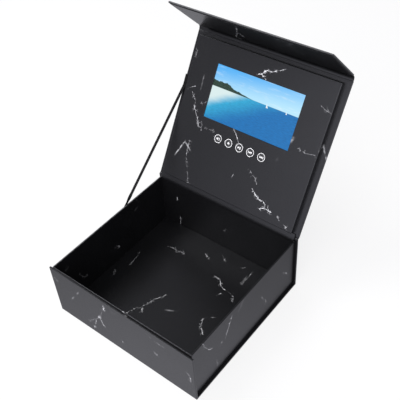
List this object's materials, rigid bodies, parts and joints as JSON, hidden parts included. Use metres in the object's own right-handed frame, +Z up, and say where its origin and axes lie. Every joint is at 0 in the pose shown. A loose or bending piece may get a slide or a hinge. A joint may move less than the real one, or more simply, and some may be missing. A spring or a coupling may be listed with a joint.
{
  "type": "video presentation box",
  "caption": "Rigid hinged gift box with a folding closing flap, a ribbon stay and a video screen with push buttons in a raised panel inside the lid.",
  "frame": {"origin": "centre of the underside of the bottom board, in the plane the box stands on", "axes": "+X to the right seen from the front, along both hinge lines; +Y to the back, where the lid is hinged; +Z up"},
  "size_m": [0.1907, 0.2684, 0.2708],
  "materials": {
    "marble_paper": "matte",
    "panel_paper": "matte",
    "hinge_paper": "matte",
    "grey_board": "matte",
    "ribbon": "satin",
    "foam": "matte",
    "screen": "gloss",
    "screen_metal": "satin",
    "light_guide": "gloss",
    "button_black": "satin",
    "circuit_green": "satin",
    "chip_black": "matte",
    "flex_amber": "satin",
    "steel": "satin",
    "nickel": "polished",
    "pouch": "satin",
    "speaker_can": "matte",
    "wire": "satin"
  },
  "bodies": {
    "base": {"bottom_board": "marble_paper", "front_board": "marble_paper", "back_board": "marble_paper", "keeper_plate_left": "steel", "keeper_plate_right": "steel", "tray_floor": "marble_paper", "floor_lining": "marble_paper", "tray_left_wall": "marble_paper", "tray_right_wall": "marble_paper", "tray_front_wall": "marble_paper", "tray_back_wall": "marble_paper", "sensor_magnet": "nickel", "lid_hinge_strip": "hinge_paper", "stay_ribbon": "ribbon"},
    "lid": {"lid_board": "marble_paper", "lid_lining": "marble_paper", "panel_face": "panel_paper", "panel_rail_left": "grey_board", "panel_rail_right": "grey_board", "panel_rail_top": "grey_board", "panel_rail_bottom": "grey_board", "flap_hinge_strip": "hinge_paper", "foam_block_left": "foam", "foam_block_right": "foam", "screen_tape": "foam", "screen_glass": "screen", "screen_frame": "screen_metal", "screen_backlight": "light_guide", "main_board": "circuit_green", "button_strip": "circuit_green", "processor_chip": "chip_black", "memory_chip": "chip_black", "lid_sensor": "chip_black", "flex_connector": "chip_black", "volume_up_switch": "chip_black", "volume_down_switch": "chip_black", "play_switch": "chip_black", "previous_switch": "chip_black", "next_switch": "chip_black", "screen_flex": "flex_amber", "charging_socket": "steel", "battery": "pouch", "speaker": "speaker_can", "battery_wires": "wire", "speaker_wires": "wire"},
    "flap": {"flap_board": "marble_paper", "flap_lining": "marble_paper", "flap_magnet_left": "nickel", "flap_magnet_right": "nickel"},
    "volume_up_button": {"volume_up_button": "button_black"},
    "volume_down_button": {"volume_down_button": "button_black"},
    "play_button": {"play_button": "button_black"},
    "previous_button": {"previous_button": "button_black"},
    "next_button": {"next_button": "button_black"}
  },
  "joints": [
    {"name": "lid_hinge", "type": "hinge", "parent": "base", "child": "lid", "pos_m": [0, 0.087, 0.0701], "axis": [1, 0, 0], "range_deg": [0, 121], "deforming": ["lid_hinge_strip", "stay_ribbon"]},
    {"name": "flap_hinge", "type": "hinge", "parent": "lid", "child": "flap", "pos_m": [0, 0.1779, 0.22139], "axis": [1, 0, 0], "range_deg": [-76, 14], "deforming": ["flap_hinge_strip"]},
    {"name": "volume_up_press", "type": "slide", "parent": "lid", "child": "volume_up_button", "axis": [0, 0.8572, -0.515], "range_m": [0, 0.0004], "stiffness_N_per_m": 1000},
    {"name": "volume_down_press", "type": "slide", "parent": "lid", "child": "volume_down_button", "axis": [0, 0.8572, -0.515], "range_m": [0, 0.0004], "stiffness_N_per_m": 1000},
    {"name": "play_press", "type": "slide", "parent": "lid", "child": "play_button", "axis": [0, 0.8572, -0.515], "range_m": [0, 0.0004], "stiffness_N_per_m": 1000},
    {"name": "previous_press", "type": "slide", "parent": "lid", "child": "previous_button", "axis": [0, 0.8572, -0.515], "range_m": [0, 0.0004], "stiffness_N_per_m": 1000},
    {"name": "next_press", "type": "slide", "parent": "lid", "child": "next_button", "axis": [0, 0.8572, -0.515], "range_m": [0, 0.0004], "stiffness_N_per_m": 1000}
  ]
}
